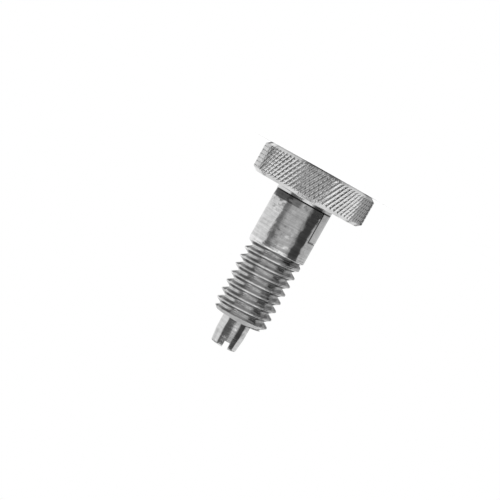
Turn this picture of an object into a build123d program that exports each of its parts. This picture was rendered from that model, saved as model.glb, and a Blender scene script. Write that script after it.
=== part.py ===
from build123d import *
import math
import os

# Locking hand-retractable indexing plunger with a knurled knob, in four pieces:
#   barrel        threaded body, with half of its top end milled away as a seat for the knob's dog
#   knob          knurled head, hub and half-round locking dog, turned and milled as one piece
#   plunger_pin   slotted nose, guide and the thin shank that screws into the knob
#   spring        compression spring round the shank, which pushes the nose out
#
# Millimetres. The plunger stands on the flat end of its knob, with +Z along its axis towards the
# nose. The origin is the centre of that flat end. The dog's flat lies in the XZ plane, with the dog
# on the +Y side and the barrel's standing half on the -Y side.

# ---- knob ----------------------------------------------------------------------------------------
knob_diameter = 25.4
knob_thickness = 6.7
knob_chamfer_radial = 0.95
knob_chamfer_axial = 0.75
knurl_pitch = 1.0
knurl_angle = 30.0
knurl_depth = 0.3
knurl_rim_step = 0.05
hub_length = 0.85
dog_length = 6.55
knob_hole_depth = 5.2

# ---- barrel --------------------------------------------------------------------------------------
barrel_diameter = 12.6
barrel_length = 27.75
plain_length = 11.5
neck_length = 3.3
edge_break = 0.12
mouth_chamfer = 0.15

# ---- thread: 1/2-13 UNC, right-handed ------------------------------------------------------------
thread_pitch = 25.4 / 13
thread_crest_diameter = 12.4
thread_flank_angle = 60.0
thread_depth = 1.25
thread_root_flat = 0.3
thread_lead_in = 0.91
thread_runout_turns = 0.6
thread_runout_rise = 1.3
thread_start_angle = 229.0
thread_end_chamfer = 1.05

# ---- plunger pin ---------------------------------------------------------------------------------
nose_diameter = 6.3
nose_projection = 6.35
nose_straight_length = 3.4
nose_taper_angle = 6.5
nose_tip_chamfer = 0.3
guide_diameter = 6.7
guide_length = 5.5
shank_diameter = 3.2
slot_width = 1.2
slot_depth = 1.45
slot_angle = 49.0
slot_offset = 0.4

# ---- spring --------------------------------------------------------------------------------------
spring_wire = 0.7
spring_wire_side_count = 6
spring_mean_diameter = 4.7
spring_active_coils = 4.0
spring_closed_coils = 1.0
spring_coil_gap = 0.03

# ---- fits ----------------------------------------------------------------------------------------
running_clearance = 0.04
seam_gap = 0.1
dog_end_gap = 0.15

# ---- how far tools run past the faces that they cut -----------------------------------------------
cut_overrun = 1.0
groove_overrun_share = 0.5

# ---- stations along the axis ---------------------------------------------------------------------
seat_z = knob_thickness + hub_length
dog_end_z = seat_z + dog_length
pocket_floor_z = dog_end_z + dog_end_gap
spring_seat_z = pocket_floor_z + neck_length
shoulder_z = seat_z + plain_length
barrel_end_z = seat_z + barrel_length
nose_tip_z = barrel_end_z + nose_projection
collar_z = barrel_end_z - guide_length
spring_length = collar_z - spring_seat_z
shank_end_z = knob_thickness - knob_hole_depth

# ---- radii ---------------------------------------------------------------------------------------
knob_radius = knob_diameter / 2
barrel_radius = barrel_diameter / 2
crest_radius = thread_crest_diameter / 2
root_radius = crest_radius - thread_depth
nose_radius = nose_diameter / 2
guide_radius = guide_diameter / 2
shank_radius = shank_diameter / 2
guide_bore_radius = guide_radius + running_clearance
shank_hole_radius = shank_radius + running_clearance


def turned(corners):
    """A solid turned about the axis, from its (radius, z) corners."""
    outline = Polyline(*corners, close=True)
    return revolve(make_face(Plane.XZ * outline), Axis.Z)


def bar(radius, low_z, high_z):
    """A round bar or hole between two stations."""
    blank = Cylinder(radius, high_z - low_z, align=(Align.CENTER, Align.CENTER, Align.MIN))
    return Pos(0, 0, low_z) * blank


def right_side_out(swept):
    """A sweep along a helix can close with its faces turned inwards: such a solid is turned out."""
    solid = swept.solid()
    if solid.volume < 0:
        solid = Solid(Shell([-face for face in solid.faces()]))
    return solid


def coil(section, path):
    """A section in the XZ plane, swept along a helix that starts on the X axis."""
    return right_side_out(sweep(section, path=path, is_frenet=True))


# ---- barrel --------------------------------------------------------------------------------------
def thread_groove_section():
    """The groove's section, with its sides carried a little past the crests."""
    slope = math.tan(math.radians(thread_flank_angle / 2))
    root_half = thread_root_flat / 2
    sides_meet = (thread_pitch / 2 - root_half) / slope
    overrun = groove_overrun_share * (sides_meet - thread_depth)
    top_half = root_half + (thread_depth + overrun) * slope
    corners = [
        (root_radius, -root_half),
        (crest_radius + overrun, -top_half),
        (crest_radius + overrun, top_half),
        (root_radius, root_half),
    ]
    return make_face(Plane.XZ * Polyline(*corners, close=True))


def threaded_blank():
    """The barrel's outside: a plain half and a threaded half whose groove fades out at the shoulder."""
    groove_start_z = shoulder_z + thread_lead_in
    groove_end_z = barrel_end_z + thread_pitch
    stock_end_z = groove_end_z + 2 * thread_pitch
    step = barrel_radius - crest_radius
    stock = turned(
        [
            (0, seat_z),
            (barrel_radius - edge_break, seat_z),
            (barrel_radius, seat_z + edge_break),
            (barrel_radius, shoulder_z - step),
            (crest_radius, shoulder_z),
            (crest_radius, stock_end_z),
            (0, stock_end_z),
        ]
    )
    section = thread_groove_section()
    groove = coil(section, Helix(thread_pitch, groove_end_z - groove_start_z, root_radius))
    stock = Rot(0, 0, 180) * stock - Pos(0, 0, groove_start_z) * groove
    stock = stock - Pos(0, 0, groove_start_z) * thread_runout(section)
    stock = Rot(0, 0, thread_start_angle) * stock
    ended = turned(
        [
            (0, seat_z),
            (barrel_radius + cut_overrun, seat_z),
            (barrel_radius + cut_overrun, shoulder_z),
            (crest_radius + cut_overrun, barrel_end_z - thread_end_chamfer - cut_overrun),
            (crest_radius - thread_end_chamfer, barrel_end_z),
            (0, barrel_end_z),
        ]
    )
    return stock & ended


def thread_runout(section):
    """The last part of the groove, which climbs out of the bar towards the shoulder."""
    drop = thread_runout_turns * thread_pitch
    climb = math.degrees(math.atan2(thread_runout_rise * thread_depth, drop))
    path = Helix(thread_pitch, drop, root_radius, direction=(0, 0, -1), cone_angle=climb)
    start = path @ 0
    turn = -math.degrees(math.atan2(start.Y, start.X))
    return coil(section, Rot(0, 0, turn) * path)


def make_barrel():
    barrel = threaded_blank()
    pocket = Box(
        2 * barrel_diameter,
        barrel_diameter,
        pocket_floor_z - seat_z + cut_overrun,
        align=(Align.CENTER, Align.MIN, Align.MAX),
    )
    barrel -= Pos(0, -seam_gap / 2, pocket_floor_z) * pocket
    barrel -= bar(shank_hole_radius, seat_z - cut_overrun, spring_seat_z + cut_overrun)
    barrel -= turned(
        [
            (0, spring_seat_z),
            (guide_bore_radius, spring_seat_z),
            (guide_bore_radius, barrel_end_z - mouth_chamfer),
            (guide_bore_radius + 2 * mouth_chamfer, barrel_end_z + mouth_chamfer),
            (0, barrel_end_z + mouth_chamfer),
        ]
    )
    return barrel


# ---- knob ----------------------------------------------------------------------------------------
def knurl_point(column, row, columns, row_height):
    """A corner of the diamond pattern: a peak on the rim, or a crossing of two grooves below it."""
    is_peak = (column + row) % 2 == 0
    radius = knob_radius if is_peak else knob_radius - knurl_depth
    angle = 2 * math.pi * (column % columns) / columns
    height = knob_chamfer_axial + row * row_height
    return Vector(radius * math.cos(angle), radius * math.sin(angle), height)


def knurled_band():
    """The rim's diamond knurl: a closed shell of four-sided points, each of four flats."""
    teeth = round(math.pi * knob_diameter / knurl_pitch)
    columns = 2 * teeth
    band_height = knob_thickness - 2 * knob_chamfer_axial
    half_diamond = knurl_pitch / 2 / math.tan(math.radians(knurl_angle))
    rows = max(2, round(band_height / half_diamond))
    row_height = band_height / rows
    flats = []
    for row in range(rows):
        for column in range(columns):
            near = knurl_point(column, row, columns, row_height)
            across = knurl_point(column + 1, row, columns, row_height)
            above = knurl_point(column, row + 1, columns, row_height)
            far = knurl_point(column + 1, row + 1, columns, row_height)
            if (column + row) % 2 == 0:
                corners = [(near, across, above), (across, far, above)]
            else:
                corners = [(near, across, far), (near, far, above)]
            flats += [Face(Wire.make_polygon(three, close=True)) for three in corners]
    for row in (0, rows):
        ring = [knurl_point(column, row, columns, row_height) for column in range(columns)]
        flats.append(Face(Wire.make_polygon(ring, close=True)))
    return Solid(Shell(flats))


def make_knob():
    rim_radius = knob_radius - knurl_depth - knurl_rim_step
    chamfer_end_radius = knob_radius - knob_chamfer_radial
    bevel = rim_radius - chamfer_end_radius
    head = turned(
        [
            (0, 0),
            (chamfer_end_radius, 0),
            (rim_radius, bevel),
            (rim_radius, knob_thickness - bevel),
            (chamfer_end_radius, knob_thickness),
            (0, knob_thickness),
        ]
    )
    hub = turned(
        [
            (0, knob_thickness / 2),
            (barrel_radius, knob_thickness / 2),
            (barrel_radius, seat_z - edge_break),
            (barrel_radius - edge_break, seat_z),
            (0, seat_z),
        ]
    )
    dog = turned(
        [
            (0, knob_thickness / 2),
            (barrel_radius, knob_thickness / 2),
            (barrel_radius, dog_end_z - edge_break),
            (barrel_radius - edge_break, dog_end_z),
            (0, dog_end_z),
        ]
    )
    dog_side = Box(
        2 * barrel_diameter,
        barrel_diameter,
        2 * dog_end_z,
        align=(Align.CENTER, Align.MIN, Align.MIN),
    )
    dog &= Pos(0, seam_gap / 2, 0) * dog_side
    knob = head + knurled_band() + hub + dog
    knob -= bar(shank_radius, shank_end_z, seat_z)
    knob -= bar(shank_hole_radius, seat_z, dog_end_z + cut_overrun)
    return knob


# ---- plunger pin ---------------------------------------------------------------------------------
def make_plunger_pin():
    taper_length = nose_projection - nose_straight_length
    tip_radius = nose_radius - taper_length * math.tan(math.radians(nose_taper_angle))
    straight_end_z = barrel_end_z + nose_straight_length
    pin = turned(
        [
            (0, shank_end_z),
            (shank_radius, shank_end_z),
            (shank_radius, collar_z),
            (guide_radius, collar_z),
            (guide_radius, barrel_end_z),
            (nose_radius, barrel_end_z),
            (nose_radius, straight_end_z),
            (tip_radius, nose_tip_z),
            (0, nose_tip_z),
        ]
    )
    tip_edge = pin.edges().filter_by(GeomType.CIRCLE).sort_by(Axis.Z)[-1]
    pin = chamfer(tip_edge, nose_tip_chamfer)
    slot = Box(2 * nose_diameter, slot_width, 2 * slot_depth)
    return pin - Pos(0, 0, nose_tip_z) * Rot(0, 0, slot_angle) * Pos(0, slot_offset, 0) * slot


# ---- spring --------------------------------------------------------------------------------------
def make_spring():
    """Round wire, drawn with flats along it, and a close coil at each end that is ground square."""
    mean_radius = spring_mean_diameter / 2
    wire_section = Plane.XZ * Pos(mean_radius, 0) * RegularPolygon(spring_wire / 2, spring_wire_side_count)
    closed_pitch = spring_wire + spring_coil_gap
    closed_height = spring_closed_coils * closed_pitch
    open_height = spring_length - 2 * closed_height
    coils = [
        (spring_closed_coils, closed_height),
        (spring_active_coils, open_height),
        (spring_closed_coils, closed_height),
    ]
    spring = None
    low_z = 0
    turns = 0
    for count, height in coils:
        stretch = coil(wire_section, Helix(height / count, height, mean_radius))
        stretch = Pos(0, 0, low_z) * Rot(0, 0, 360 * turns) * stretch
        spring = spring + stretch if spring else stretch
        low_z += height
        turns += count
    ground = spring & bar(guide_bore_radius, 0, spring_length)
    return Pos(0, 0, spring_seat_z) * ground


parts = {
    "barrel": make_barrel(),
    "knob": make_knob(),
    "plunger_pin": make_plunger_pin(),
    "spring": make_spring(),
}

os.makedirs("parts", exist_ok=True)
for name, piece in parts.items():
    piece.label = name
    export_step(piece, f"parts/{name}.step")
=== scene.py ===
import math

import bpy
import bmesh
from mathutils import Matrix, Vector


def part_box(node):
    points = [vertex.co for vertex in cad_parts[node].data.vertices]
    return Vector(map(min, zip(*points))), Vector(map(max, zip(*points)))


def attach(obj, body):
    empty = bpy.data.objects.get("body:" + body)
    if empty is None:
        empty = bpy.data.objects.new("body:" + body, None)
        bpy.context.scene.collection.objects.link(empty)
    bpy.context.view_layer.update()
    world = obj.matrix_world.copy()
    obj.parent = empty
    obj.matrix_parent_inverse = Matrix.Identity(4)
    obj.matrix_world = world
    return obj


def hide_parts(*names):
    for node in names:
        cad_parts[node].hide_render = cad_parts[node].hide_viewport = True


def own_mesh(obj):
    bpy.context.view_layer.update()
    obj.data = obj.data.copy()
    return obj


# A locking indexing plunger in bare steel: knurled knob with its half-round dog, threaded barrel,
# slotted plunger pin and the spring inside. Shapes are built in millimetres and scaled to metres.
# The outer sizes come from the frame; the rest repeat the real object's own sizes.

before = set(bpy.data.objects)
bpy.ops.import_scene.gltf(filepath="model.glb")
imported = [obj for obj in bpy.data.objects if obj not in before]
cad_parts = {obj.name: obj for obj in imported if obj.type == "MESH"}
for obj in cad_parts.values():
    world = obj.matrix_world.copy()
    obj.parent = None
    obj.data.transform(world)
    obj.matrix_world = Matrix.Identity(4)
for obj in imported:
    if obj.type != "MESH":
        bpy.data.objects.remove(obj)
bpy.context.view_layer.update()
MM = 0.001
IMAGE_WIDTH = 500


def box_mm(node):
    low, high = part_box(node)
    return low / MM, high / MM


# ---- sizes, in millimetres -----------------------------------------------------------------------
_, knob_high = box_mm("knob")
barrel_low, barrel_high = box_mm("barrel")
pin_low, pin_high = box_mm("plunger_pin")
spring_low, spring_high = box_mm("spring")

knob_radius = knob_high.x
knob_thickness = 6.7
knob_chamfer_radial = 0.95
knob_chamfer_axial = 0.75
hub_fillet = 0.3
knurl_pitch = 1.0
knurl_angle = math.radians(30)
knurl_depth = 0.3
knurl_width = knob_thickness - 2 * knob_chamfer_axial
knurl_grooves = round(2 * math.pi * knob_radius / knurl_pitch)
knurl_rows = round(2 * knurl_width * math.tan(knurl_angle) / knurl_pitch)
# Shares: of a ridge that is left flat, of the depth that one family has, of the groove that is round.
knurl_tip_flat = 0.125
knurl_shallow = 3 / 7
knurl_round = 0.25

barrel_radius = barrel_high.x
seat_z = barrel_low.z
barrel_end_z = barrel_high.z
plain_length = 11.5
shoulder_z = seat_z + plain_length
dog_end_z = knob_high.z
dog_end_gap = 0.15
pocket_floor_z = dog_end_z + dog_end_gap
seam_gap = 0.1
edge_break = 0.12
mouth_chamfer = 0.15
end_ease_length = 1.42
end_ease_angle = math.radians(4.5)
end_ease_round = 0.06

thread_pitch = 25.4 / 13
thread_crest_radius = 6.2
thread_root_radius = 4.95
thread_half_angle = math.radians(30)
thread_root_round = 0.16
thread_crest_round = 0.05
thread_lead_in = 0.91
thread_start_angle = math.radians(229)
thread_runout_turns = 0.6
thread_runout_rise = 1.3
thread_end_chamfer = 1.05

shank_radius = 1.6
shank_hole_radius = 1.64
pin_edge_round = 0.06
guide_radius = pin_high.x
guide_play = 0.04
guide_bore_radius = guide_radius + guide_play
collar_z = spring_high.z
nose_radius = 3.15
nose_straight_length = 3.4
nose_taper = math.radians(6.5)
nose_tip_round = 0.3
slot_width = 1.2
slot_depth = 1.45
slot_angle = math.radians(49)
slot_offset = 0.4

spring_wire = 0.7
spring_mean_radius = 2.35
spring_active_coils = 4.0
spring_closed_coils = 1.0
spring_coil_gap = 0.03

# ---- how finely the meshes are cut ---------------------------------------------------------------
sharp_angle = math.radians(38)
face_ring_inset = 0.3
thread_rows_before = 0.6
chamfer_row_shares = (0.35, 0.7)
knurl_steps = 8
rim_columns = 2 * knurl_steps * knurl_grooves
columns = rim_columns // 4
dog_side_columns = columns // 2 + 2
far_side_columns = columns - dog_side_columns
pin_columns = 160
spring_steps_per_turn = 72
spring_wire_sides = 16
# Where the rows of a thread lie, as shares of one pitch: close at the root, 0, and the crest, 0.5.
thread_rows = [0, 0.035, 0.07, 0.12, 0.19, 0.27, 0.35, 0.39, 0.42, 0.46]
thread_rows += [0.5] + [1 - row for row in reversed(thread_rows[1:])]


# ---- mesh tools ----------------------------------------------------------------------------------
class Shell:
    """The points and faces of one piece, in millimetres. Each face has the number of its finish."""

    def __init__(self):
        self.points = []
        self.faces = []
        self.finishes = []

    def loop(self, points):
        first = len(self.points)
        self.points += points
        return list(range(first, len(self.points)))

    def face(self, corners, finish):
        corners = list(dict.fromkeys(corners))
        if len(corners) > 2:
            self.faces.append(corners)
            self.finishes.append(finish)

    def bridge(self, low, high, finish, rising=None):
        """Joins two loops by quads or, with a list of which way each is cut, by pairs of triangles."""
        for i in range(len(low)):
            j = (i + 1) % len(low)
            if rising is None:
                self.face([low[i], low[j], high[j], high[i]], finish)
            elif rising[i]:
                self.face([low[i], low[j], high[j]], finish)
                self.face([low[i], high[j], high[i]], finish)
            else:
                self.face([low[i], low[j], high[i]], finish)
                self.face([low[j], high[j], high[i]], finish)

    def turn(self, loop, profile, angles, finish):
        """Carries a loop on through rings at each (radius, z) of a profile, and returns the last."""
        for radius, z in profile:
            ring = self.loop(circle(radius, z, angles))
            self.bridge(loop, ring, finish)
            loop = ring
        return loop

    def piece(self, name, materials, place=Matrix.Identity(4)):
        mesh = bpy.data.meshes.new(name)
        mesh.from_pydata(self.points, [], self.faces)
        mesh.polygons.foreach_set("material_index", self.finishes)
        for material in materials:
            mesh.materials.append(material)
        mesh.transform(Matrix.Scale(MM, 4) @ place)
        work = bmesh.new()
        work.from_mesh(mesh)
        bmesh.ops.recalc_face_normals(work, faces=work.faces)
        work.to_mesh(mesh)
        work.free()
        mesh.shade_smooth()
        mesh.set_sharp_from_angle(angle=sharp_angle)
        piece = bpy.data.objects.new(name, mesh)
        bpy.context.scene.collection.objects.link(piece)
        return piece


def circle(radius, z, angles):
    return [(radius * math.cos(a), radius * math.sin(a), z) for a in angles]


def spread(first, last, count):
    """count + 1 even steps from first to last."""
    return [first + (last - first) * i / count for i in range(count + 1)]


def quarter_round(size, steps=3):
    """The (inset, rise) pairs of an edge rounded by size, from its face to its wall."""
    turns = spread(0, math.pi / 2, steps)
    return [(size * (1 - math.sin(t)), size * (1 - math.cos(t))) for t in turns]


def rounded(corners, size, steps=3):
    """A profile of (radius, z) corners, with each inner corner replaced by an arc of that size."""
    profile = [corners[0]]
    for before, corner, after in zip(corners, corners[1:], corners[2:]):
        here = Vector(corner)
        back = (Vector(before) - here).normalized()
        on = (Vector(after) - here).normalized()
        half = back.angle(on) / 2
        centre = here + (back + on).normalized() * size / math.sin(half)
        start = here + back * size / math.tan(half) - centre
        sweep = (math.pi - 2 * half) * math.copysign(1, back.cross(on))
        for t in spread(0, -sweep, steps):
            turned = Matrix.Rotation(t, 2) @ start
            profile.append(tuple(centre + turned))
    return profile + [corners[-1]]


def held(profile, near=0.08, least=0.4):
    """The profile with a point near both ends of each long stretch, which keeps its shading flat."""
    points = profile[:1]
    for before, after in zip(profile, profile[1:]):
        start, end = Vector(before), Vector(after)
        if (end - start).length > least:
            step = (end - start).normalized() * near
            points += [tuple(start + step), tuple(end - step)]
        points.append(after)
    return points


# ---- the half-round end that knob and barrel share -----------------------------------------------
def side_angles(offset):
    """Column angles for a circle that a flat at offset (as an angle) cuts: dog side, then far side."""
    near = spread(-offset, math.pi + offset, dog_side_columns)
    far = spread(math.pi + offset, 2 * math.pi - offset, far_side_columns)
    return near[:-1] + far[:-1]


flat_offset = seam_gap / 2
corner_angle = math.asin((flat_offset + edge_break) / (barrel_radius - edge_break))
outer_angles = side_angles(corner_angle)
bore_angles = side_angles(math.asin(flat_offset / shank_hole_radius))


def corner_arc(inset, left):
    """The rounded corner between the outside and the flat, from the outside to the flat."""
    centre_y = -flat_offset - edge_break
    centre_x = math.sqrt((barrel_radius - edge_break) ** 2 - centre_y**2)
    arc = []
    for t in spread(-corner_angle, math.pi / 2, 4)[1:]:
        x = centre_x + (edge_break - inset) * math.cos(t)
        y = centre_y + (edge_break - inset) * math.sin(t)
        arc.append((-x if left else x, y))
    return arc


def half_outline(inset, z):
    """A half-round section on the -Y side, whose flat has half of the shank's hole in it."""
    far = outer_angles[dog_side_columns:] + [2 * math.pi - corner_angle]
    outline = [(x, y) for x, y, _ in circle(barrel_radius - inset, z, far)]
    outline += corner_arc(inset, left=False)
    hole = shank_hole_radius + inset
    offset = math.asin((flat_offset + inset) / hole)
    notch = spread(2 * math.pi - offset, math.pi + offset, far_side_columns)
    outline += [(x, y) for x, y, _ in circle(hole, z, notch)]
    outline += reversed(corner_arc(inset, left=True))
    return [(x, y, z) for x, y in outline]


def half_round_end(shell, floor_z, end_z, finish, lead=((0, 0.2),)):
    """The end from end_z up to floor_z, and the ledge there. Returns the outer and the bore loop.

    lead lists (inset, rise) pairs that the half-round passes on its way to the rounded end.
    """
    top = shell.loop(half_outline(0, floor_z))
    loop = top
    drawn_in = lead[-1][0]
    end = [(drawn_in + inset, rise) for inset, rise in reversed(quarter_round(0.8 * edge_break))]
    for inset, rise in [*lead, *end]:
        ring = shell.loop(half_outline(inset, end_z + rise))
        shell.bridge(loop, ring, finish)
        loop = ring
    shell.face(loop, finish)
    far = far_side_columns + 1
    corner = len(corner_arc(0, False))
    notch = top[far + corner : 2 * far + corner]
    ledge = circle(barrel_radius - edge_break, floor_z, outer_angles)
    outer = [top[far - 1]] + shell.loop(ledge[1:dog_side_columns]) + top[: far - 1]
    hole = circle(shank_hole_radius, floor_z, bore_angles)
    bore = [notch[0]] + shell.loop(hole[1:dog_side_columns]) + notch[:0:-1]
    for i in range(dog_side_columns):
        shell.face([outer[i], outer[i + 1], bore[i + 1], bore[i]], finish)
    shell.face([outer[0]] + top[far : far + corner] + [bore[0]], finish)
    left = top[2 * far + corner :]
    shell.face([outer[dog_side_columns]] + left[::-1] + [bore[dog_side_columns]], finish)
    return outer, bore


def edge_ring(shell, loop, inset, z, finish):
    """A ring above the ledge, drawn in by inset on the dog's side only, where its rim is free."""
    points = circle(barrel_radius, z, outer_angles)
    drawn = circle(barrel_radius - inset, z, outer_angles)
    ring = shell.loop([points[0]] + drawn[1:dog_side_columns] + points[dog_side_columns:])
    shell.bridge(loop, ring, finish)
    return ring


# ---- barrel --------------------------------------------------------------------------------------
def soft_least(a, b, blend):
    """The lesser of two values, with a rounded change from one to the other."""
    middle = (a + b) / 2
    return middle - math.sqrt(((a - b) / 2) ** 2 + blend**2)


def stock_radius(z):
    """The bar's radius before the thread is cut: shoulder, crests and end chamfer."""
    step = barrel_radius - thread_crest_radius
    if z < shoulder_z:
        return barrel_radius - max(0, z - shoulder_z + step)
    return thread_crest_radius - max(0, z - barrel_end_z + thread_end_chamfer)


def barrel_surface(angle, z):
    """The radius of the threaded half, with the groove climbing out of the bar at the shoulder."""
    start_z = shoulder_z + thread_lead_in
    turns = (angle - thread_start_angle) / (2 * math.pi)
    nearest = round((z - start_z) / thread_pitch - turns)
    radius = stock_radius(z)
    depth = thread_crest_radius - thread_root_radius
    for groove in (nearest - 1, nearest, nearest + 1):
        along = turns + groove
        aside = z - start_z - thread_pitch * along
        climb = thread_runout_rise * depth * max(0, -along / thread_runout_turns)
        flank = math.sqrt(aside**2 + thread_root_round**2) - thread_root_round
        wall = thread_root_radius + climb + flank / math.tan(thread_half_angle)
        radius = soft_least(radius, wall, thread_crest_round)
    return radius


def thread_strip(shell, loop, finish):
    """Rows that follow the helix from the loop's height to the barrel's end. Returns the last loop."""
    low_z = shell.points[loop[0]][2]
    top = shell.loop(circle(stock_radius(barrel_end_z), barrel_end_z, outer_angles))
    first = shoulder_z + thread_lead_in - thread_pitch * thread_start_angle / (2 * math.pi)
    while first > low_z - thread_pitch:
        first -= thread_pitch
    per_turn = len(thread_rows)
    rows = per_turn * math.ceil((barrel_end_z - first) / thread_pitch + 1)
    indices = []
    for i, angle in enumerate(outer_angles):
        column = []
        for row in range(rows):
            turns = angle / (2 * math.pi) + row // per_turn + thread_rows[row % per_turn]
            z = first + thread_pitch * turns
            if z <= low_z:
                column.append(loop[i])
            elif z >= barrel_end_z:
                column.append(top[i])
            else:
                radius = barrel_surface(angle, z)
                column += shell.loop(circle(radius, z, [angle]))
        indices.append(column)
    for i in range(columns):
        here = indices[i]
        there = indices[i + 1] if i + 1 < columns else indices[0][per_turn:] + [top[0]] * per_turn
        for row in range(rows - 1):
            shell.face([here[row], there[row], there[row + 1], here[row + 1]], finish)
    return top


def eased_end():
    """The (inset, rise) pairs of the standing half's end, which is dressed to a very slight cone."""
    slope = math.tan(end_ease_angle)
    begin = (0, end_ease_length + end_ease_round)
    rises = (end_ease_length - end_ease_round, 0.35, 0.2)
    return [begin] + [((end_ease_length - rise) * slope, rise) for rise in rises]


def make_barrel(materials):
    plain, thread = range(2)
    shell = Shell()
    outer, bore = half_round_end(shell, pocket_floor_z, seat_z, plain, eased_end())
    for inset, rise in quarter_round(edge_break)[1:]:
        outer = edge_ring(shell, outer, inset, pocket_floor_z + rise, plain)
    body_end = shoulder_z - thread_rows_before
    heights = (pocket_floor_z + 0.2, body_end - 0.1, body_end)
    outer = shell.turn(outer, [(barrel_radius, z) for z in heights], outer_angles, plain)
    end = thread_strip(shell, outer, thread)
    mouth = [
        (guide_bore_radius + mouth_chamfer, barrel_end_z),
        (guide_bore_radius, barrel_end_z - mouth_chamfer),
        (guide_bore_radius, spring_low.z),
        (shank_hole_radius, spring_low.z),
    ]
    inner = shell.turn(end, mouth, bore_angles, plain)
    shell.bridge(inner, bore, plain)
    return shell.piece("barrel_turned", materials)


# ---- knob ----------------------------------------------------------------------------------------
def knurl_radius(column, z, band_low, row_height):
    """The rim's radius: flat-topped ridges between two families of grooves, one of them shallower.

    A groove crosses knurl_steps columns for each row that it climbs.
    """
    across = column / knurl_steps
    along = (z - band_low) / row_height
    cuts = [0]
    for way, deepest in ((1, knurl_shallow), (-1, 1)):
        count = (across + way * along) / 2
        off_groove = 1 - 2 * abs(count - round(count))
        share = min(1, off_groove / (1 - knurl_tip_flat) / deepest)
        swell = 0.5 + 0.5 * math.cos(math.pi * share)
        cuts.append(deepest * (knurl_round * swell + (1 - knurl_round) * (1 - share)))
    return knob_radius - knurl_depth * max(cuts)


def rim_rings(low_z, high_z):
    """Rings of the knurled rim, with a turned chamfer at each edge that cuts through the knurl.

    Also returns which way each face between two rings is cut in two, to follow the ridges' creases.
    """
    band_low = low_z + knob_chamfer_axial
    row_height = knurl_width / knurl_rows
    angles = spread(0, 2 * math.pi, rim_columns)[:-1]
    slope = knob_chamfer_radial / knob_chamfer_axial
    chamfer_end = knob_radius - knob_chamfer_radial

    def meeting(column, edge_z, way):
        """How far from the edge the chamfer comes out through the knurl, closed in on step by step."""
        far = knob_chamfer_axial
        for _ in range(12):
            knurl = knurl_radius(column, edge_z + way * far, band_low, row_height)
            far = 0.5 * (far + (knurl - chamfer_end) / slope)
        return min(far, 0.97 * knob_chamfer_axial)

    def edge(edge_z, way):
        meets = [meeting(column, edge_z, way) for column in range(rim_columns)]
        rings = [circle(chamfer_end, edge_z, angles)]
        top = [circle(chamfer_end + slope * m, edge_z + way * m, [a]) for m, a in zip(meets, angles)]
        rings.append([point for (point,) in top])
        for share in chamfer_row_shares:
            ring = []
            for column, (m, a) in enumerate(zip(meets, angles)):
                z = edge_z + way * (m + share * (knob_chamfer_axial - m))
                ring += circle(knurl_radius(column, z, band_low, row_height), z, [a])
            rings.append(ring)
        return rings

    levels = spread(band_low, high_z - knob_chamfer_axial, knurl_rows * knurl_steps)
    radii = [[knurl_radius(c, z, band_low, row_height) for c in range(rim_columns)] for z in levels]
    band = [[circle(r, z, [a])[0] for r, a in zip(row, angles)] for row, z in zip(radii, levels)]
    cuts = []
    for z, above, low, high in zip(levels, levels[1:], radii, radii[1:]):
        row = []
        for c in range(rim_columns):
            middle = 2 * knurl_radius(c + 0.5, (z + above) / 2, band_low, row_height)
            rising = abs(low[c] + high[(c + 1) % rim_columns] - middle)
            falling = abs(low[(c + 1) % rim_columns] + high[c] - middle)
            row.append(rising < falling)
        cuts.append(row)
    low_edge = edge(low_z, 1)
    high_edge = edge(high_z, -1)[::-1]
    uncut = [None] * len(low_edge)
    return low_edge + band + high_edge, uncut + cuts + uncut


def fan(shell, ring, rim, finish):
    """Joins a ring to a rim with four times as many points."""
    for i in range(len(ring)):
        j = (i + 1) % len(ring)
        outer = [rim[(4 * i + k) % len(rim)] for k in range(5)]
        shell.face([ring[i]] + outer + [ring[j]], finish)


def make_knob(materials):
    """Built upside down, with the hub's ledge at z = 0 and the dog below it, and turned over last."""
    turned, knurled = range(2)
    shell = Shell()
    head_z = seat_z - knob_thickness
    outer, bore = half_round_end(shell, 0, seat_z - dog_end_z, turned)
    for inset, rise in quarter_round(edge_break)[1:]:
        outer = edge_ring(shell, outer, inset, rise, turned)
    root = [(barrel_radius + inset, head_z - rise) for inset, rise in quarter_round(hub_fillet)[::-1]]
    face_radius = knob_radius - knob_chamfer_radial - face_ring_inset
    inner = shell.turn(outer, root + [(face_radius, head_z)], outer_angles, turned)
    rim, cuts = rim_rings(head_z, seat_z)
    rings = [shell.loop(ring) for ring in rim]
    fan(shell, inner, rings[0], turned)
    for i, (low, high) in enumerate(zip(rings, rings[1:])):
        shell.bridge(low, high, knurled if 0 < i < len(rings) - 2 else turned, cuts[i])
    flat = shell.loop(circle(face_radius, seat_z, outer_angles))
    fan(shell, flat, rings[-1], turned)
    shell.face(flat, turned)
    lead = shank_hole_radius - shank_radius
    hole = [(shank_radius, lead), (shank_radius, seat_z - pin_low.z)]
    shell.face(shell.turn(bore, hole, bore_angles, turned), turned)
    over = Matrix.Translation((0, 0, seat_z)) @ Matrix.Rotation(math.pi, 4, "X")
    return shell.piece("knob_turned", materials, over)


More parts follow.
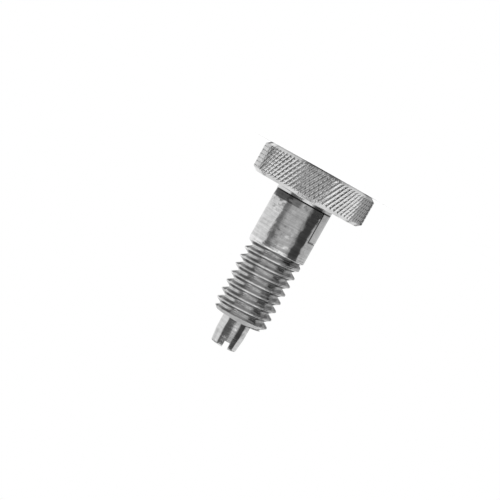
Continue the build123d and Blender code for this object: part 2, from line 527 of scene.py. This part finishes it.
# ---- plunger pin ---------------------------------------------------------------------------------
def make_pin(material):
    angles = spread(0, 2 * math.pi, pin_columns)[:-1]
    straight_end = barrel_end_z + nose_straight_length
    tip_radius = nose_radius - (pin_high.z - straight_end) * math.tan(nose_taper)
    body = rounded(
        [
            (0, pin_low.z),
            (shank_radius, pin_low.z),
            (shank_radius, collar_z),
            (guide_radius, collar_z),
            (guide_radius, barrel_end_z),
            (nose_radius, barrel_end_z),
        ],
        pin_edge_round,
    )
    tip = rounded(
        [
            (nose_radius, barrel_end_z),
            (nose_radius, straight_end),
            (tip_radius, pin_high.z),
            (0, pin_high.z),
        ],
        nose_tip_round,
        steps=5,
    )
    shell = Shell()
    profile = held(body[1:-1] + tip[:-1])
    first = shell.loop(circle(*profile[0], angles))
    shell.face(first, 0)
    shell.face(shell.turn(first, profile[1:], angles, 0), 0)
    pin = shell.piece("pin_turned", [material])
    cut_slot(pin)
    return pin


def cut_slot(pin):
    bpy.ops.mesh.primitive_cube_add(size=1)
    cutter = bpy.context.object
    cutter.scale = Vector((3 * nose_radius, slot_width, 2 * slot_depth)) * MM
    aside = Vector((-math.sin(slot_angle), math.cos(slot_angle), 0)) * slot_offset
    cutter.location = (aside + Vector((0, 0, pin_high.z))) * MM
    cutter.rotation_euler.z = slot_angle
    bpy.context.view_layer.update()
    cut = pin.modifiers.new("slot", "BOOLEAN")
    cut.operation = "DIFFERENCE"
    cut.solver = "EXACT"
    cut.object = cutter
    cut_mesh = bpy.data.meshes.new_from_object(pin.evaluated_get(bpy.context.evaluated_depsgraph_get()))
    pin.modifiers.clear()
    pin.data = cut_mesh
    cut_mesh.set_sharp_from_angle(angle=sharp_angle)
    bpy.data.objects.remove(cutter)


# ---- spring --------------------------------------------------------------------------------------
def make_spring(material):
    """Round wire on a helix: a closed coil at each end, ground flat, with open coils between them."""
    length = spring_high.z - spring_low.z
    turns = spring_active_coils + 2 * spring_closed_coils
    closed_rise = spring_wire + spring_coil_gap
    open_rise = (length - 2 * spring_closed_coils * closed_rise) / spring_active_coils

    def height(turn):
        closed = min(turn, spring_closed_coils)
        opened = min(max(turn - spring_closed_coils, 0), spring_active_coils)
        last = max(turn - spring_closed_coils - spring_active_coils, 0)
        return spring_low.z + (closed + last) * closed_rise + opened * open_rise

    shell = Shell()
    loops = []
    for turn in spread(0, turns, int(turns * spring_steps_per_turn)):
        angle = 2 * math.pi * turn
        ring = []
        for side in spread(0, 2 * math.pi, spring_wire_sides)[:-1]:
            radius = spring_mean_radius + spring_wire / 2 * math.cos(side)
            z = height(turn) + spring_wire / 2 * math.sin(side)
            z = min(max(z, spring_low.z), spring_high.z)
            ring += circle(radius, z, [angle])
        loops.append(shell.loop(ring))
    for low, high in zip(loops, loops[1:]):
        shell.bridge(low, high, 0)
    shell.face(loops[0], 0)
    shell.face(loops[-1], 0)
    return shell.piece("spring_coiled", [material])


# ---- materials -----------------------------------------------------------------------------------
# Sizes of the marks in the steel, in millimetres.
pit_size = 0.12
dent_size = 0.7
smear_size = 0.9
stain_size = 1.2
# Blotches that break up the painted shade at the knob.
shade_breakup_size = 9
# Tool marks run round the axis. Their pattern changes at full pace along the axis, at nearly that
# pace out from it and slowly round it. Smears change this many times faster round it than they do.
ring_pace_outwards = 0.9
ring_pace_round = 0.04
smear_pace_round = 6
# Depth in micrometres, and the share of the steel's shade that is left where dirty joints and painted
# shade are darkest.
pit_depth = 1.5
dirt_and_shade_share = 0.05
# How gradually the painted shade on a thread's flank comes in, in millimetres out from the axis.
flank_shade_fade = 0.06


class Graph:
    """A material's nodes. Each method adds a node, links what it is given, and returns its output."""

    def __init__(self, name):
        self.material = bpy.data.materials.new(name)
        self.material.use_nodes = True
        self.nodes = self.material.node_tree.nodes
        self.links = self.material.node_tree.links
        self.shader = self.nodes["Principled BSDF"]
        self.place = self.nodes.new("ShaderNodeTexCoord").outputs["Object"]

    def feed(self, socket, value):
        if isinstance(value, bpy.types.NodeSocket):
            self.links.new(value, socket)
        else:
            socket.default_value = value

    def math(self, operation, *values):
        node = self.nodes.new("ShaderNodeMath")
        node.operation = operation
        for socket, value in zip(node.inputs, values):
            self.feed(socket, value)
        return node.outputs[0]

    def scaled(self, vector, scale):
        node = self.nodes.new("ShaderNodeMapping")
        self.feed(node.inputs["Vector"], vector)
        node.inputs["Scale"].default_value = scale
        return node.outputs[0]

    def noise(self, vector, size, detail=2.0, rough=0.5):
        """Noise whose blotches are about size millimetres across."""
        node = self.nodes.new("ShaderNodeTexNoise")
        self.feed(node.inputs["Vector"], vector)
        node.inputs["Scale"].default_value = 1 / (size * MM)
        node.inputs["Detail"].default_value = detail
        node.inputs["Roughness"].default_value = rough
        return node.outputs["Fac"]

    def spread(self, value, low, high, to_low=0.0, to_high=1.0):
        """Carries low..high to to_low..to_high, and holds it there outside."""
        node = self.nodes.new("ShaderNodeMapRange")
        for socket, number in zip(node.inputs, (value, low, high, to_low, to_high)):
            self.feed(socket, number)
        return node.outputs[0]

    def bump(self, height, depth, normal=None):
        """Relief of depth micrometres between the height's 0 and 1."""
        node = self.nodes.new("ShaderNodeBump")
        node.inputs["Strength"].default_value = 1
        node.inputs["Distance"].default_value = depth * 1e-6
        self.feed(node.inputs["Height"], height)
        if normal:
            self.feed(node.inputs["Normal"], normal)
        return node.outputs[0]

    def from_axis(self):
        """Distance from the plunger's axis, in millimetres."""
        flat = self.scaled(self.place, (1 / MM, 1 / MM, 0))
        node = self.nodes.new("ShaderNodeVectorMath")
        node.operation = "LENGTH"
        self.feed(node.inputs[0], flat)
        return node.outputs["Value"]

    def lathe_place(self):
        """Coordinates that change slowly round the axis, and fast along it and out from it."""
        split = self.nodes.new("ShaderNodeSeparateXYZ")
        self.feed(split.inputs[0], self.place)
        out = self.math("MULTIPLY", self.from_axis(), ring_pace_outwards * MM)
        join = self.nodes.new("ShaderNodeCombineXYZ")
        for socket, value in zip(join.inputs, (split.outputs[0], split.outputs[1])):
            self.feed(socket, self.math("MULTIPLY", value, ring_pace_round))
        self.feed(join.inputs[2], self.math("ADD", split.outputs[2], out))
        return join.outputs[0]


# ---- dirty joints and painted shade, with their places in millimetres ----------------------------
seat_line_reach = 0.2
seam_line_reach = 0.15
seam_line_end_z = pocket_floor_z + 0.05
gap_line_z = (dog_end_z + pocket_floor_z) / 2
gap_line_reach = 0.17
# Painted shade in a line along the outer edge of the knob's top, where it stands on the floor.
knob_edge_shade_z = 0.1
knob_edge_shade_reach = 0.16
knob_edge_shade_radius = 11
# Painted shadow of the knob, on the standing half of the barrel next to the seat.
knob_shadow_end_z = seat_z + 1.55
knob_shadow_fade = 0.1
knob_shadow_fade_x = (-4.3, -3.7)
knob_shadow_side_y = -0.1


def joint_dirt_and_shade(graph):
    """How dark a place is made by dirty joints and by painted shade, from 0 to 1.

    There are dirty lines at the barrel's seat, along the dog's sides and in the gap at its end.
    There is painted shade in a line at the edge of the knob's top, and a painted shadow of the knob
    on the standing half of the barrel next to the seat.
    """
    at = graph.nodes.new("ShaderNodeSeparateXYZ")
    graph.feed(at.inputs[0], graph.place)
    x, y, z = [graph.math("MULTIPLY", output, 1 / MM) for output in at.outputs]
    shade_breakup = graph.noise(graph.place, shade_breakup_size, detail=0.0)

    def near(value, place, reach):
        off = graph.math("ABSOLUTE", graph.math("SUBTRACT", value, place))
        return graph.spread(off, 0.6 * reach, reach, 1, 0)

    def product(first, *others):
        for other in others:
            first = graph.math("MULTIPLY", first, other)
        return first

    above_seat = graph.math("GREATER_THAN", z, seat_z)
    seat_line = near(z, seat_z, seat_line_reach)
    seam_line = product(
        near(y, 0, seam_line_reach),
        above_seat,
        graph.math("LESS_THAN", z, seam_line_end_z),
    )
    gap_line = product(
        near(z, gap_line_z, gap_line_reach),
        graph.math("GREATER_THAN", y, -seam_line_reach),
    )
    # Painted shade: a dark line along the outer edge of the knob's top.
    knob_edge_shade = product(
        near(z, knob_edge_shade_z, knob_edge_shade_reach),
        graph.math("GREATER_THAN", graph.from_axis(), knob_edge_shade_radius),
        graph.spread(shade_breakup, 0.45, 0.55, 0.3, 0.9),
    )
    # Painted shadow of the knob on the barrel next to the seat, broken up in blotches.
    knob_shadow = product(
        above_seat,
        graph.spread(z, knob_shadow_end_z - knob_shadow_fade, knob_shadow_end_z, 1, 0),
        graph.math("LESS_THAN", y, knob_shadow_side_y),
        graph.spread(x, *knob_shadow_fade_x, 0.1, 1),
        graph.spread(shade_breakup, 0.4, 0.6, 0.65, 0.85),
    )
    dirt_and_shade = seat_line
    for other in (seam_line, gap_line, knob_edge_shade, knob_shadow):
        dirt_and_shade = graph.math("MAXIMUM", dirt_and_shade, other)
    return dirt_and_shade


# ---- bare steel ----------------------------------------------------------------------------------
def steel(name, shade, roughness, rings, waves, dents=0, spots=0.2, flank=None, joints=False):
    """Bare machined steel: tool marks round the axis, a slightly uneven face, dents, stains and pits.

    rings and waves are the (size in millimetres, depth in micrometres) of the tool marks and of the
    unevenness, and dents is a depth alone.
    spots is how far the stains take the shade up or down, as a share of it.
    flank gives the distances from the axis between which a thread's flank gets painted shade, and its
    share of shade; its crests and roots stay lighter, as lines of painted highlight.
    joints says that the surface meets the joints between knob and barrel, which are dirty, and that
    it takes painted shade: the knob's shadow on the barrel and a line at the edge of the knob's top.
    """
    graph = Graph(name)
    lathe = graph.lathe_place()
    ring_size, ring_depth = rings
    wave_size, wave_depth = waves
    ring_marks = graph.noise(lathe, ring_size, detail=4.0, rough=0.6)
    unevenness = graph.noise(graph.place, wave_size, detail=1.0)
    pits = graph.noise(graph.place, pit_size, detail=3.0, rough=0.7)
    dimples = graph.noise(graph.place, dent_size, detail=3.0)
    stains = graph.noise(graph.place, stain_size, detail=6.0, rough=0.7)
    smeared = graph.scaled(lathe, (smear_pace_round, smear_pace_round, 1))
    smears = graph.noise(smeared, smear_size, detail=3.0)

    def mixed(first, second, share):
        """share of the first and the rest of the second."""
        rest = graph.math("MULTIPLY", second, 1 - share)
        return graph.math("ADD", graph.math("MULTIPLY", first, share), rest)

    tone = mixed(mixed(stains, smears, 0.6), ring_marks, 0.6)
    value = graph.spread(tone, 0.35, 0.65, shade * (1 - 1.3 * spots), shade * (1 + 0.7 * spots))
    # Painted shade: the thread's flanks are darkened, so its crests and roots show as lighter lines.
    if flank:
        low, high, share = flank
        off_root = graph.spread(graph.from_axis(), low - flank_shade_fade, low + flank_shade_fade, 1, share)
        off_crest = graph.spread(graph.from_axis(), high - flank_shade_fade, high + flank_shade_fade, share, 1)
        value = graph.math("MULTIPLY", value, graph.math("MAXIMUM", off_root, off_crest))
    # Dirty joints, and painted shade: the knob's shadow on the barrel and a line at the knob's top
    # edge.
    if joints:
        value = graph.math("MULTIPLY", value, graph.spread(joint_dirt_and_shade(graph), 0, 1, 1, dirt_and_shade_share))
    colour = graph.nodes.new("ShaderNodeCombineColor")
    for socket in colour.inputs:
        graph.feed(socket, value)
    graph.feed(graph.shader.inputs["Base Color"], colour.outputs[0])

    rough = graph.spread(mixed(ring_marks, smears, 0.5), 0.3, 0.7, 0.7 * roughness, 1.35 * roughness)
    graph.feed(graph.shader.inputs["Roughness"], rough)

    relief = graph.bump(unevenness, wave_depth)
    relief = graph.bump(dimples, dents, relief)
    relief = graph.bump(ring_marks, ring_depth, relief)
    relief = graph.bump(graph.spread(pits, 0.25, 0.45), pit_depth, relief)
    graph.feed(graph.shader.inputs["Normal"], relief)
    graph.shader.inputs["Metallic"].default_value = 1
    return graph.material


plain_steel = steel(
    "ground_steel", 0.64, 0.12, rings=(0.3, 2.2), waves=(1.8, 90), dents=18, spots=0.3, joints=True
)
# Painted light: the threaded steel is lighter than the plain steel, for painted highlight lines at
# crests and roots, and its flanks get painted shade.
thread_steel = steel(
    "threaded_steel",
    0.82,
    0.18,
    rings=(0.25, 2.0),
    waves=(1.6, 110),
    dents=10,
    flank=(thread_root_radius + 0.22, thread_crest_radius - 0.18, 0.55),
)
knurl_steel = steel("knurled_steel", 0.66, 0.14, rings=(0.3, 1.0), waves=(0.9, 20))
knob_steel = steel("turned_steel", 0.66, 0.15, rings=(0.25, 2.0), waves=(2.5, 40), joints=True)
pin_steel = steel("pin_steel", 0.65, 0.12, rings=(0.3, 1.0), waves=(1.6, 40), dents=8)
spring_steel = steel("spring_steel", 0.5, 0.25, rings=(0.5, 1.0), waves=(1.0, 2))

# ---- the pieces ----------------------------------------------------------------------------------
barrel = make_barrel([plain_steel, thread_steel])
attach(barrel, "barrel")
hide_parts("barrel")

knob = make_knob([knob_steel, knurl_steel])
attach(knob, "plunger")
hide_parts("knob")

pin = make_pin(pin_steel)
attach(pin, "plunger")
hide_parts("plunger_pin")

spring = make_spring(spring_steel)
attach(spring, "barrel")
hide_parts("spring")
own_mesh(spring)

# ---- floor and studio ----------------------------------------------------------------------------
floor_radius = 60
floor_shade = 0.8
floor_glow = 0.3
floor_sides = 128
tent_radius = 150
tent_low = -700
tent_high = 300
tent_sides = 120
camera_azimuth = math.radians(229)

# What hangs on the white tent: soft boxes, and grey flags that give the metal its dark stripes. One
# further down the list covers those above it. Bearings are in degrees round the plunger from the
# camera, with the left of the picture positive. Heights are in millimetres. A strength of 1 is white.
tent_patches = [
    # name, from, to, low, high, strength, softness of the sides, softness of the top and bottom
    ("far_below", -190, 190, -720, -236, 0.2, 8, 20),
    ("below", -190, 190, -236, -128, 0.5, 10, 20),
    ("flags", -190, 190, -128, 190, 0.13, 8, 20),
    ("right_flag", -190, -42, -128, 190, 0.07, 6, 20),
    ("left_back", 120, 190, 112, 190, 1.0, 8, 8),
    ("right_back", -190, -120, 112, 190, 1.0, 8, 8),
    ("left_under", 132, 190, -340, -82, 0.9, 8, 40),
    ("right_under", -190, -132, -300, -74, 0.9, 8, 40),
    ("left_fill", 55, 105, -110, -20, 0.35, 8, 8),
    ("left_high", 55, 115, 98, 165, 0.35, 8, 8),
    ("left_low", 57, 190, -12, 8, 0.35, 8, 4),
    ("left_box", 57, 190, 8, 98, 1.0, 8, 3),
    ("left_far", 95, 140, 64, 100, 0.85, 8, 8),
    ("left_grey", 18, 57, 0, 48, 0.25, 8, 4),
    ("middle_box", -40, 34, -16, 48, 0.6, 16, 4),
    ("thread_box", -32, 28, 31, 44, 1.1, 10, 3),
    ("shoulder_grey", 8, 60, 27, 34, 0.1, 8, 3),
    ("hub_grey", 10, 58, 42, 52, 0.08, 8, 3),
    ("hub_glint", -34, 6, 40, 52, 1.7, 8, 3),
    ("nose_grey", -15, 63, 48, 100, 0.13, 8, 4),
    ("nose_box", -40, -4, 48, 95, 0.6, 8, 4),
    ("right_low", -190, -100, -80, 9, 0.2, 8, 4),
    ("right_box", -190, -86, 9, 34, 0.66, 6, 3),
    ("right_gap", -190, -86, 34, 50, 0.25, 6, 6),
    ("right_high", -190, -88, 52, 100, 0.9, 6, 6),
    ("high_box", -55, 50, 101, 132, 1.35, 10, 6),
    ("high_right", -85, -55, 101, 132, 1.0, 8, 8),
    ("right_end", -85, -38, -112, -50, 0.5, 8, 8),
    ("key_box", -38, 42, -112, -78, 1.4, 8, 8),
    ("key_middle", 22, 52, -78, -50, 2.2, 8, 8),
    ("under_key", -10, 52, -50, -14, 0.8, 8, 8),
    ("left_key", 112, 165, -80, -45, 1.2, 8, 8),
    ("right_key", -165, -105, -76, -18, 0.5, 8, 8),
    ("top_box", -50, 50, 140, 250, 1.2, 10, 10),
]


def stage_piece(name, points, faces, material):
    mesh = bpy.data.meshes.new(name)
    mesh.from_pydata([Vector(point) * MM for point in points], [], faces)
    mesh.materials.append(material)
    piece = bpy.data.objects.new(name, mesh)
    bpy.context.scene.collection.objects.link(piece)
    return piece


def glow(name, strength, shade=0.0):
    """A material that gives plain light of that strength, over a matt surface of that shade."""
    graph = Graph(name)
    shader = graph.shader
    shader.inputs["Base Color"].default_value = (shade, shade, shade, 1)
    shader.inputs["Roughness"].default_value = 1
    shader.inputs["Specular IOR Level"].default_value = 0
    shader.inputs["Emission Color"].default_value = (1, 1, 1, 1)
    shader.inputs["Emission Strength"].default_value = strength
    return graph


def within(graph, value, low, high, soft):
    """1 where the value lies between low and high, 0 outside, and a soft change over their edges."""
    middle = (low + high) / 2
    reach = (high - low) / 2
    off = graph.math("ABSOLUTE", graph.math("SUBTRACT", value, middle))
    return graph.spread(off, reach - soft / 2, reach + soft / 2, 1, 0)


def tent_cloth():
    graph = glow("tent_cloth", 1)
    split = graph.nodes.new("ShaderNodeSeparateXYZ")
    graph.feed(split.inputs[0], graph.place)
    bearing = graph.math("ARCTAN2", split.outputs[1], split.outputs[0])
    bearing = graph.math("MULTIPLY", bearing, math.degrees(1))
    height = graph.math("MULTIPLY", split.outputs[2], 1 / MM)
    light = 1.0
    for _, first, last, low, high, strength, side_soft, end_soft in tent_patches:
        sides = within(graph, bearing, first, last, side_soft)
        ends = within(graph, height, low, high, end_soft)
        cover = graph.math("MULTIPLY", sides, ends)
        change = graph.math("SUBTRACT", strength, light)
        light = graph.math("MULTIPLY_ADD", change, cover, light)
    graph.feed(graph.shader.inputs["Emission Strength"], light)
    return graph.material


# The metal mirrors the tent below the floor, and not the floor. The plunger stands on its knob, so
# the floor stays under the knob when it is pulled.
rim = circle(floor_radius, 0, spread(0, 2 * math.pi, floor_sides)[:-1])
white = glow("white_floor", floor_glow, floor_shade).material
floor = stage_piece("floor", rim, [range(floor_sides)], white)
floor.visible_glossy = False
floor.parent = knob

# Only glossy rays see the tent. Bare steel shows little but what it mirrors, so its stripes and its
# brightness come from here. Without the tent it mirrors the white world, and is paler and plain.
around = spread(0, 2 * math.pi, tent_sides)[:-1]
hoops = circle(tent_radius, tent_low, around) + circle(tent_radius, tent_high, around)
cloth = []
for i in range(tent_sides):
    j = (i + 1) % tent_sides
    cloth.append((i, j, tent_sides + j, tent_sides + i))
tent = stage_piece("tent", hoops, cloth, tent_cloth())
tent.rotation_euler.z = camera_azimuth
for rays in ("camera", "diffuse", "transmission", "volume_scatter", "shadow"):
    setattr(tent, "visible_" + rays, False)

world = bpy.data.worlds.new("studio")
bpy.context.scene.world = world
world.use_nodes = True
world.node_tree.nodes["Background"].inputs["Color"].default_value = (1, 1, 1, 1)
world.node_tree.nodes["Background"].inputs["Strength"].default_value = 1

# ---- camera --------------------------------------------------------------------------------------
camera_distance = 300.0
camera_height = 2.6
camera_aside = -5.7
aim_height = 21.6
aim_aside = -4.8
camera_roll = math.radians(29.3)
focal_pixels = 1457.6
sensor_width = 36.0

towards = Vector((math.cos(camera_azimuth), math.sin(camera_azimuth), 0))
across = Vector((math.sin(camera_azimuth), -math.cos(camera_azimuth), 0))
up_axis = Vector((0, 0, 1))
eye = towards * camera_distance + across * camera_aside + up_axis * camera_height
aim = across * aim_aside + up_axis * aim_height
backward = (eye - aim).normalized()
down = (up_axis - backward * backward.z).normalized()
right = (-down).cross(backward)
tilt = Matrix.Rotation(camera_roll, 3, backward)
sides = Matrix((tilt @ right, tilt @ -down, backward)).transposed()

camera_data = bpy.data.cameras.new("camera")
camera_data.sensor_width = sensor_width
camera_data.lens = sensor_width * focal_pixels / IMAGE_WIDTH
camera = bpy.data.objects.new("camera", camera_data)
camera.matrix_world = Matrix.Translation(eye * MM) @ sides.to_4x4()
camera_data.clip_start = 0.01
bpy.context.scene.collection.objects.link(camera)
bpy.context.scene.camera = camera
bpy.context.scene.view_settings.view_transform = "Standard"
